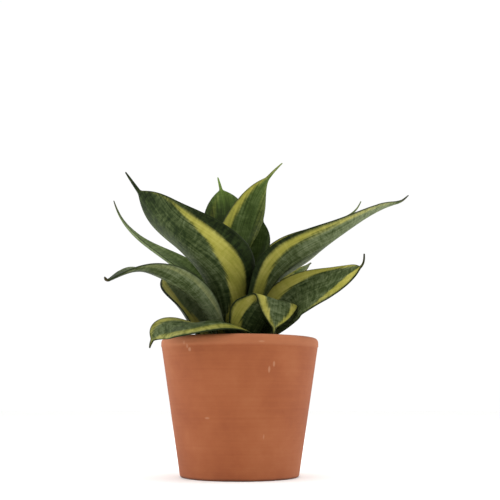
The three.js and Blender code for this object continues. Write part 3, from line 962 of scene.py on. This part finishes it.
@dataclass
class Leaf:
    """One leaf, by the same sizes in mm and degrees as its solid, with its golden bands.

    foot is the distance from the pot's axis, compass angle and height of the base. rise and heading
    are the midrib's climb and compass angle, roll turns the blade about it, cup curls each half up,
    keel creases it, shift moves it off the middle, and widest, base and taper shape the outline. awn
    is the drawn-out dry point, neck is half the width of its root, hook curls it up, and fold is a
    sharp bend over the lower face, by its place, angle and span. dry is how brown the point is, pale
    and fresh key the skin's tone along the blade, and bright is how much paler it is at the margins.
    heel is how far the base is buried in the crown, thick_base and thick_tip are the thickness of the
    midrib at its ends, thick_edge is that of the margins and awn_tip is half the width of the
    point's end. rows and columns are the grid's cells and steps are the midrib's.
    """

    name: str
    foot: tuple[float, float, float]
    length: float
    width: float
    awn: float
    rise: Keys
    heading: Keys
    roll: Keys
    cup: Keys
    keel: float = 6.0
    widest: float = 0.45
    base: float = 0.5
    taper: float = 2.4
    fold: tuple[float, float, float] | None = None
    neck: float = 1.3
    hook: float = 0.0
    shift: float = 0.0
    left: Band = LEFT_BAND
    right: Band = RIGHT_BAND
    dry: float = 0.6
    pale: Keys = (0.0,)
    fresh: Keys = (0.0,)
    bright: float = 0.04

    heel: float = 9.0
    thick_base: float = 2.3
    thick_tip: float = 1.5
    thick_edge: float = 0.9
    awn_tip: float = 0.35
    rows: int = 96
    columns: int = 20
    steps: int = 120

    def axes(self, s: float) -> tuple[Vector, Vector, Vector]:
        """Find the blade's own axes at s.

        Args:
            s: Share of the length.

        Returns:
            The directions along the blade, out of its upper face and across it.
        """
        share = self.awn / self.length
        e = (keyed(self.rise, s) + self.hook * smooth((s - 1 + HOOK_REACH * share) / share)) * RAD
        h = keyed(self.heading, s) * RAD
        along = Vector((math.cos(e) * math.cos(h), math.cos(e) * math.sin(h), math.sin(e)))
        up = Vector((-math.sin(e) * math.cos(h), -math.sin(e) * math.sin(h), math.cos(e)))
        side = along.cross(up)
        roll = keyed(self.roll, s) * RAD
        face = up * math.cos(roll) + side * math.sin(roll)
        across = side * math.cos(roll) - up * math.sin(roll)
        if self.fold:
            at, angle, span = self.fold
            bend = angle * RAD * smooth((s - at + span / 2) / span)
            cos, sin = math.cos(bend), math.sin(bend)
            along, face = along * cos - face * sin, face * cos + along * sin
        return along, face, across

    def midrib(self) -> list[Vector]:
        """Sum the midrib up from short straight steps.

        Returns:
            Points from the base to the tip, in mm.
        """
        radius, angle, height = self.foot
        here = Vector((radius * math.cos(angle * RAD), radius * math.sin(angle * RAD), height))
        points = [here.copy()]
        for i in range(self.steps):
            along, _, _ = self.axes((i + 0.5) / self.steps)
            here = here + along * (self.length / self.steps)
            points.append(here.copy())
        return points

    def half_width(self, s: float) -> float:
        """Return the half width at s, which closes to the apex and goes on as a thin point."""
        share = self.awn / self.length
        apex = 1 - share
        u = min(max(s / apex, 0.0), 1.0)
        swell = self.base + (1 - self.base) * smooth(u / self.widest)
        t = min(max((u - self.widest) / (1 - self.widest), 0.0), 1.0)
        blade = self.width / 2 * swell * max(1 - t**self.taper, 0.0) ** APEX_CLOSING
        if s < apex - AWN_SEAM:
            return blade
        left = min(max((1 - s) / share, 0.0), 1.0) ** AWN_TAPER
        return math.hypot(blade, self.awn_tip + (self.neck - self.awn_tip) * left)

    def thickness(self, s: float, v: float) -> float:
        """Return the blade's full thickness at s and v, fleshy at the midrib and thin at the margins."""
        share = self.awn / self.length
        beyond = min(max((s - (1 - share)) / share, 0.0), 1.0)
        middle = self.thick_base + (self.thick_tip - self.thick_base) * min(max(s, 0.0), 1.0)
        middle *= 1 - AWN_THINNING * beyond
        edge = min(self.thick_edge, middle)
        return edge + (middle - edge) * (1 - v * v)

    def point(self, points: list[Vector], s: float, v: float) -> Vector:
        """Find a place on the blade's middle surface.

        Args:
            points: The midrib.
            s: Share of the length; below 0 is the buried heel.
            v: Share of the half width, -1 to 1.

        Returns:
            The place in mm.
        """
        inside = min(max(s, 0.0), 1.0)
        x = inside * self.steps
        i = min(int(x), self.steps - 1)
        centre = points[i].lerp(points[i + 1], x - i)
        along, face, across = self.axes(inside)
        if s < 0:
            centre = centre + along * (s * self.length)
        t, sign = abs(v), (v > 0) - (v < 0)
        reach = self.half_width(inside) * (1 + self.shift * sign)
        crease = self.keel * RAD
        curl = keyed(self.cup, inside) * RAD
        if abs(curl) < LEAST_CURL:
            curl = LEAST_CURL
        out = reach * sign * (math.sin(crease + curl * t) - math.sin(crease)) / curl
        lift = reach * (math.cos(crease) - math.cos(crease + curl * t)) / curl
        return centre + across * out + face * lift

    def build(self, skins: dict[Face, Material]) -> Object:
        """Build the leaf: a flat grid drawn along the midrib, curled, and given its flesh.

        Args:
            skins: Material of each face.

        Returns:
            The finished leaf.
        """
        deselect_all()
        bpy.ops.mesh.primitive_grid_add(
            x_subdivisions=self.rows, y_subdivisions=self.columns, size=1.0, location=(0, 0, 0)
        )
        leaf = bpy.context.active_object
        leaf.name = self.name + "_blade"
        self._shape(leaf)
        for face in (Face.UPPER, Face.OUTER):
            leaf.data.materials.append(skins[face])
        # The flesh is as thick as the vertex group says, and nowhere under 2 % of the base's.
        apply_modifier(
            leaf,
            "SOLIDIFY",
            thickness=self.thick_base * MM,
            offset=0.0,
            vertex_group="flesh",
            thickness_vertex_group=0.02,
            material_offset=1,
            material_offset_rim=1,
        )
        apply_modifier(leaf, "SUBSURF", levels=1, render_levels=1)
        settle(leaf)
        self._check_faces(leaf)
        take(leaf)
        bpy.ops.object.shade_smooth()
        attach(leaf, "root")
        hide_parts(self.name)
        return leaf

    def _stations(self) -> list[float]:
        """Spread the grid's rows along the leaf, closer towards the tip and at a fold.

        Returns:
            Shares of the length, from the heel to the tip.
        """
        start = -self.heel / self.length
        even = [i / SPREAD_STEPS for i in range(SPREAD_STEPS + 1)]
        spread = [start + (1 - start) * (1 - (1 - x) ** TIP_CROWDING) for x in even]
        weight = [0.0]
        for before, after in zip(spread, spread[1:]):
            close = 1.0
            if self.fold and abs((before + after) / 2 - self.fold[0]) < self.fold[2] * FOLD_REACH:
                close = FOLD_CROWDING
            weight.append(weight[-1] + close)
        stations = []
        place = 0
        for i in range(self.rows + 1):
            goal = weight[-1] * i / self.rows
            while place < SPREAD_STEPS - 1 and weight[place + 1] < goal:
                place += 1
            share = (goal - weight[place]) / (weight[place + 1] - weight[place])
            stations.append(spread[place] + (spread[place + 1] - spread[place]) * share)
        return stations

    def _shape(self, leaf: Object) -> None:
        """Move the grid onto the blade's middle surface and note what its finish reads.

        Args:
            leaf: The flat grid, one unit square.
        """
        mesh = leaf.data
        points = self.midrib()
        stations = self._stations()
        flesh = leaf.vertex_groups.new(name="flesh")
        share = self.awn / self.length
        notes: dict[str, list[float]] = {"blade": [], "gold_left": [], "gold_right": [], "age": []}
        for vertex in mesh.vertices:
            s = stations[round((vertex.co.x + 0.5) * self.rows)]
            v = vertex.co.y * 2
            vertex.co = self.point(points, s, v) * MM
            flesh.add([vertex.index], self.thickness(s, v) / self.thick_base, "REPLACE")
            half = self.half_width(min(max(s, 0.0), 1.0))
            start = self.foot[1] * PATTERN_STEP
            notes["blade"] += [s * self.length + start, v * half, half * (1 - abs(v))]
            notes["gold_left"] += self.left.note(s, v, half)
            notes["gold_right"] += self.right.note(s, v, half)
            dry = smooth((s - (1 - share * DRY_REACH)) / (share * DRY_SPAN)) * self.dry
            pale = keyed(self.pale, s) + self.bright * (v * v - BRIGHT_PIVOT)
            notes["age"] += [dry, pale, min(max(keyed(self.fresh, s), 0.0), 1.0)]
        for name, values in notes.items():
            mesh.attributes.new(name, "FLOAT_VECTOR", "POINT").data.foreach_set("vector", values)

    def _check_faces(self, leaf: Object) -> None:
        """Give the upper skin to the faces that look out of the leaf's upper side."""
        mesh = leaf.data
        _, face, _ = self.axes(PROBE)
        middle = self.point(self.midrib(), PROBE, 0.0) * MM
        first = (p for p in mesh.polygons if p.material_index == 0)
        near = min(first, key=lambda p: (p.center - middle).length)
        if near.normal.dot(face) < 0:
            for polygon in mesh.polygons:
                polygon.material_index = 1 - polygon.material_index


LEAVES = [
    Leaf(
        "leaf_left_tall", (9, 259.5, 92), 173, 62, 20, neck=1.9,
        rise=(89.5, 67, 41, 39, 53.5, 54), heading=(246.5, 248.5, 207, 176, 172.5, 152),
        roll=(17, 29, 32, 35.5, 71), cup=(91.5, 72.5, 40.5, 17.5, 11),
        base=0.45, taper=3.5, dry=0.0, pale=(0, 0.02, 0.05, 0.02, -0.06, -0.14),
        left=Band(
            inner=(0.7, 0.17, -0.19, -0.64, -0.9, -0.88),
            outer=(-0.1, -0.34, -0.63, -0.81, -0.95, -0.97),
            strength=(0.9, 1, 1, 0.9, 0.35, 0.2),
        ),
        right=NO_BAND,
    ),
    Leaf(
        "leaf_right_long", (16, -40.5, 92), 206, 49, 16, neck=2.6, hook=28,
        rise=(95, 67, 29, 34.5, 25.5, 12.5), heading=(-29, 1.5, -23.5, 22, 40.5, 34.5),
        roll=(19, -13.5, -19, -9, -9), cup=(80, 43, 36.5, 51.5, 63), keel=8,
        widest=0.33, base=0.45, taper=1.5, dry=0.7, pale=(0, 0.03, 0.07, 0.13, 0.16, 0.02),
        left=Band(inner=(-0.5,), outer=(-0.95,), strength=(0.3, 0.3, 0.3, 0.2, 0.2, 0)),
        right=Band(
            inner=(0.2, 0.3, 0.58, 0.76, 0.8, 0.7),
            outer=(0.85, 0.8, 0.84, 0.92, 0.95, 0.95),
            strength=(0.9, 0.95, 1, 0.75, 0.45, 0.1),
        ),
    ),
    Leaf(
        "leaf_centre", (12, -86, 95), 155, 51, 20, neck=1.7,
        rise=(90, 85.5, 94, 74.5, 60.5, 36.5), heading=(-27, -23, -3, -18, -9, 58.5),
        roll=(-12, -22, -56, -54.5), cup=(126, 119, 74.5, 42, 37), keel=8,
        widest=0.39, taper=2.05, dry=0.0,
        pale=(0, 0, 0.04, -0.03, 0, 0.2), fresh=(0.2, 0.25, 0.25, 0.15, 0.3, 1),
        left=Band(inner=(-0.35,), outer=(-1.1,), strength=(0.12,)),
        right=Band((0.35, 0.4, 0.42, 0.54, 0.55, 0.6), (0.9,), (0.6, 0.8, 1, 1, 1, 0.5)),
    ),
    Leaf(
        "leaf_back_tall", (7.5, 158.5, 95), 153.5, 46.5, 14,
        rise=(90, 81, 79, 62, 60.5), heading=(126.5, 105.5, 100.5, 116.5),
        roll=(-5.5, -16.5, -15), cup=(108.5, 81, 49, 32),
        taper=3.2, dry=0.0,
        pale=(-0.14, -0.14, -0.14, -0.12, 0.12), fresh=(0.1, 0.1, 0.12, 0.2, 1),
        left=Band(inner=(-0.5,), outer=(-0.7,), strength=(0.7, 0.7, 0.6, 0.2, 0)),
        right=NO_BAND,
    ),
    Leaf(
        "leaf_right_open", (17, -58, 90), 127.5, 48, 11, neck=1, hook=62,
        rise=(67.5, 52, 47.5, 20.5, 13, 17, 28.5), heading=(4.5, -6, -29.5, -44, -69),
        roll=(38.5, 58.5, 61, 54, 48.5, 58, 95.5), cup=(70.5, 42.5, 15.5, -5.5, -9, 3),
        shift=0.1, widest=0.48, base=0.48, taper=2.35, dry=0.8, pale=(0.04, 0.06, 0.08),
        left=Band(
            inner=(-0.2, -0.35, -0.46, -0.7, -0.76, -0.7),
            outer=(-0.96,),
            strength=(0.9, 1, 1, 1, 0.9, 0.6),
        ),
        right=Band(
            inner=(0.95, 0.95, 0.95, 0.88, 0.2, -0.6),
            outer=(0.97, 0.97, 0.97, 0.97, 0.88, 0.8),
            strength=(0, 0, 0.1, 0.5, 1, 0.9),
        ),
    ),
    Leaf(
        "leaf_front_folded", (22.5, -80.5, 90), 76.5, 55, 5, fold=(0.64, 142, 0.13),
        rise=(60.5, 55, 50.5, 79), heading=(-30, -40.5, -60),
        roll=(-5.5, -10.5, -32.5), cup=(90.5, 80, -15.5, 10.5),
        widest=0.38, base=0.63, taper=1.6, dry=0.2, pale=(-0.04, -0.04, -0.02, 0.08, 0.1, 0.1),
        left=Band((-0.8, -0.8, -0.8, -0.7, -0.6, -0.5), (-0.96,), (0, 0, 0, 0.9, 1, 1)),
        right=Band((0.45, 0.5, 0.6, 0.58, 0.5, 0.4), (0.88, 0.88, 0.92, 0.92, 0.88, 0.9)),
    ),
    Leaf(
        "leaf_left_arching", (19, 213.5, 90), 148.5, 33, 6.5, neck=1.9, hook=60,
        rise=(82.5, 57, 30, 7, -18, -19.5), heading=(217, 215.5, 232.5, 252),
        roll=(-16.5, -9.5, 10, 1.5, 10), cup=(89.5, 77, 58, 40.5, 38, 35.5),
        widest=0.35, base=0.52, taper=1.3, dry=0.8, pale=(0.08, 0.15, 0.12, 0.08, 0.02, -0.14), bright=0.14,
        left=Band(inner=(-0.72,), outer=(-0.86,), strength=(0.2, 0.2, 0.2, 0.2, 0.1, 0)),
        right=NO_BAND,
    ),
    Leaf(
        "leaf_left_short", (22, 182.5, 90), 76, 39, 6,
        rise=(60, 55.5, 53.5, 63), heading=(188.5, 208, 175.5),
        roll=(-22, -44.5, -41, -51.5), cup=(64, 34.5, 24, 15),
        # Its pale tone is raised as painted light, brightening the blade and its golden band where the leaf
        # above shades them.
        widest=0.57, base=0.71, taper=3.55, pale=(0.24,), fresh=(0.1,),
        left=Band(
            inner=(0.9, 0.65, 0.4, 0.1, 0.0, -0.1),
            outer=(0.3, 0.1, -0.14, -0.45, -0.75, -0.85),
            strength=(1, 1, 1, 1, 1, 0.6),
        ),
        right=NO_BAND,
    ),
    Leaf(
        "leaf_rim_draped", (20, 270, 90), 96.5, 42.5, 6,
        rise=(64.5, 30.5, -12, -6, -82.5), heading=(284.5, 216, 175.5, 208.5),
        roll=(-12, -10.5, -19.5, -68), cup=(-7, -20.5, 17), keel=4,
        widest=0.66, base=0.82, taper=2, dry=0.3, pale=(0, 0, 0.04, 0.1, 0.1),
        left=Band((-0.45, -0.55, -0.55, -0.5, -0.3), (-0.94,), (0.7, 0.7, 0.6, 0.5, 0.4)),
        right=Band((0.6, 0.6, 0.6, 0.62, 0.45), (0.93,), (0.4, 0.4, 0.5, 0.6, 0.5)),
    ),
    Leaf(
        "leaf_back_right", (6, 41, 95), 116, 34, 10,
        rise=(89.5, 83.5, 71, 76.5, 85), heading=(40.5, 47.5, 65.5),
        roll=(-10, -1.5, 22), cup=(93.5, 68, 39, 30.5),
        taper=3, pale=(-0.06,), fresh=(0.15,),
        left=NO_BAND,
        right=NO_BAND,
    ),
    Leaf(
        "leaf_left_slender", (11.5, 171, 92), 186, 29.5, 14, neck=1.7,
        rise=(79, 62, 38, 31, 42, 66.5), heading=(148, 146.5, 138.5),
        roll=(-10.5, -13.5, 37.5), cup=(92.5, 56.5, 43.5, 48.5),
        widest=0.37, taper=1.35, pale=(-0.1, -0.08, -0.02, 0.04, 0.1, 0.1), fresh=(0.2,),
        bright=0.08,
        left=NO_BAND,
        right=NO_BAND,
    ),
    Leaf(
        "leaf_right_short", (20.5, 32.5, 90), 106, 33, 6,
        rise=(70.5, 60, 45.5, 25), heading=(32.5, 44.5, 62),
        roll=(-7, -7, 2.5), cup=(87, 48, 27.5), keel=8,
        taper=1.7, pale=(0.12,), fresh=(0.3,),
    ),
    Leaf(
        "leaf_back_right_long", (17, 68, 92), 188.5, 31.5, 14, hook=20,
        rise=(75.5, 70, 56, 29.5, 27.5, 45), heading=(50.5, 36.5, 10.5),
        roll=(29.5, 23.5, 2.5), cup=(76.5, 50, 48.5), keel=8,
        widest=0.35, taper=1.5, dry=0.0,
        pale=(0, 0, 0.02, 0.06, 0.1, 0.2), fresh=(0, 0, 0, 0, 0.3, 0.6),
    ),
    Leaf(
        "leaf_back_low", (24, 88, 90), 128, 41, 10,
        rise=(65, 52.5, 39.5, 27, 13), heading=(89.5, 84, 80.5),
        roll=(3, 2, 0), cup=(87, 59, 40, 30),
        taper=2.2,
    ),
    Leaf(
        "leaf_back_left", (17.5, 85, 91), 135.5, 38.5, 12,
        rise=(73, 64.5, 55.5, 47, 41.5), heading=(134.5, 126.5, 122.5),
        roll=(0,), cup=(90, 65, 50, 40),
    ),
    Leaf(
        "leaf_inner_furled", (5, 224, 97), 89, 33, 12,
        rise=(87, 88, 88, 90), heading=(90,),
        roll=(0,), cup=(160, 152, 142, 134), keel=4,
        pale=(0.05,), fresh=(0.5,),
    ),
]


# ---- studio --------------------------------------------------------------------------------------------
@dataclass
class Studio:
    """Pale floor, soft lights, the bright room around and the camera, in metres and watts."""

    camera_place: tuple[float, float, float] = (0.0, -0.700, 0.057)
    camera_target: tuple[float, float, float] = (0.0078, 0.0, 0.172)
    lens: float = 65.52
    sensor: float = 36.0
    clip: float = 0.01
    floor_size: float = 8.0
    paper: str = "fdfdfc"
    paper_shade: str = "fbfbfa"
    paper_patch: float = 0.33333
    room_light: float = 1.02
    light_target: tuple[float, float, float] = (0.0, 0.0, 0.12)

    def build(self) -> None:
        """Set up the floor, the lights, the surroundings and the camera."""
        self._floor()
        self._lights()
        self._camera()

    def _floor(self) -> None:
        """Lay a large sheet of matte white paper, with faint patches a third of a metre wide."""
        deselect_all()
        bpy.ops.mesh.primitive_plane_add(size=self.floor_size, location=(0, 0, 0))
        floor = bpy.context.active_object
        floor.name = "studio_floor"
        material, tree, surface = new_material("matte_white_paper")
        place = add_node(tree, "TexCoord", out="Object")
        patches = grain(tree, place, (self.paper_patch,) * 3, 2.0)
        tone = add_node(tree, "ValToRGB", {0: patches}, stops=((0.3, self.paper_shade), (0.7, self.paper)))
        values = {"Base Color": tone, "Roughness": 0.9, "Specular IOR Level": 0.1}
        tree.links.new(add_node(tree, "BsdfPrincipled", values), surface)
        floor.data.materials.append(material)

    def _lights(self) -> None:
        """Hang large soft lights over and beside the plant, in a bright room."""
        self._panel("light_top", (0.05, 0.1, 1.2), 1.2, 6.0)
        self._panel("light_left", (-1.1, 0.15, 0.5), 0.9, 5.0)
        self._panel("light_right", (1.1, 0.15, 0.5), 0.9, 5.0)
        self._panel("light_low", (-0.75, -0.7, 0.12), 0.5, 1.0)
        world = bpy.data.worlds.new("bright_room")
        bpy.context.scene.world = world
        world.use_nodes = True
        back = world.node_tree.nodes["Background"]
        back.inputs["Color"].default_value = (1.0, 1.0, 1.0, 1.0)
        back.inputs["Strength"].default_value = self.room_light

    def _panel(self, name: str, place: tuple[float, float, float], size: float, power: float) -> None:
        """Add one soft square light that looks at the middle of the plant.

        Args:
            name: Name of the light.
            place: Where it hangs.
            size: Length of its side.
            power: Its power in watts.
        """
        data = bpy.data.lights.new(name, "AREA")
        data.size = size
        data.energy = power
        light = bpy.data.objects.new(name, data)
        bpy.context.scene.collection.objects.link(light)
        light.location = place
        toward = Vector(self.light_target) - Vector(place)
        light.rotation_euler = toward.to_track_quat("-Z", "Y").to_euler()

    def _camera(self) -> None:
        """Set the camera low in front, looking slightly up."""
        data = bpy.data.cameras.new("camera")
        data.lens = self.lens
        data.sensor_width = self.sensor
        data.clip_start = self.clip
        camera = bpy.data.objects.new("camera", data)
        bpy.context.scene.collection.objects.link(camera)
        camera.location = self.camera_place
        toward = Vector(self.camera_target) - Vector(self.camera_place)
        camera.rotation_euler = toward.to_track_quat("-Z", "Y").to_euler()
        bpy.context.scene.camera = camera


def log(piece: Object) -> None:
    """Log a finished piece and how many faces it has."""
    LOG.info("%s: %d faces", piece.name, len(piece.data.polygons))


def main() -> None:
    """Build the studio and every piece of the plant in order."""
    logging.basicConfig(level=logging.INFO, format="%(name)s: %(message)s", stream=sys.stdout)
    Studio().build()
    bpy.context.scene.view_settings.view_transform = "Standard"
    log(POT.build(Terracotta().build()))
    for piece in Soil().build(PottingSoil().build()):
        log(piece)
    log(Crown().build(StemFlesh().build()))
    skins = {skin.face: skin.build() for skin in (UPPER_SKIN, OUTER_SKIN)}
    for leaf in LEAVES:
        log(leaf.build(skins))


if __name__ == "__main__":
    main()
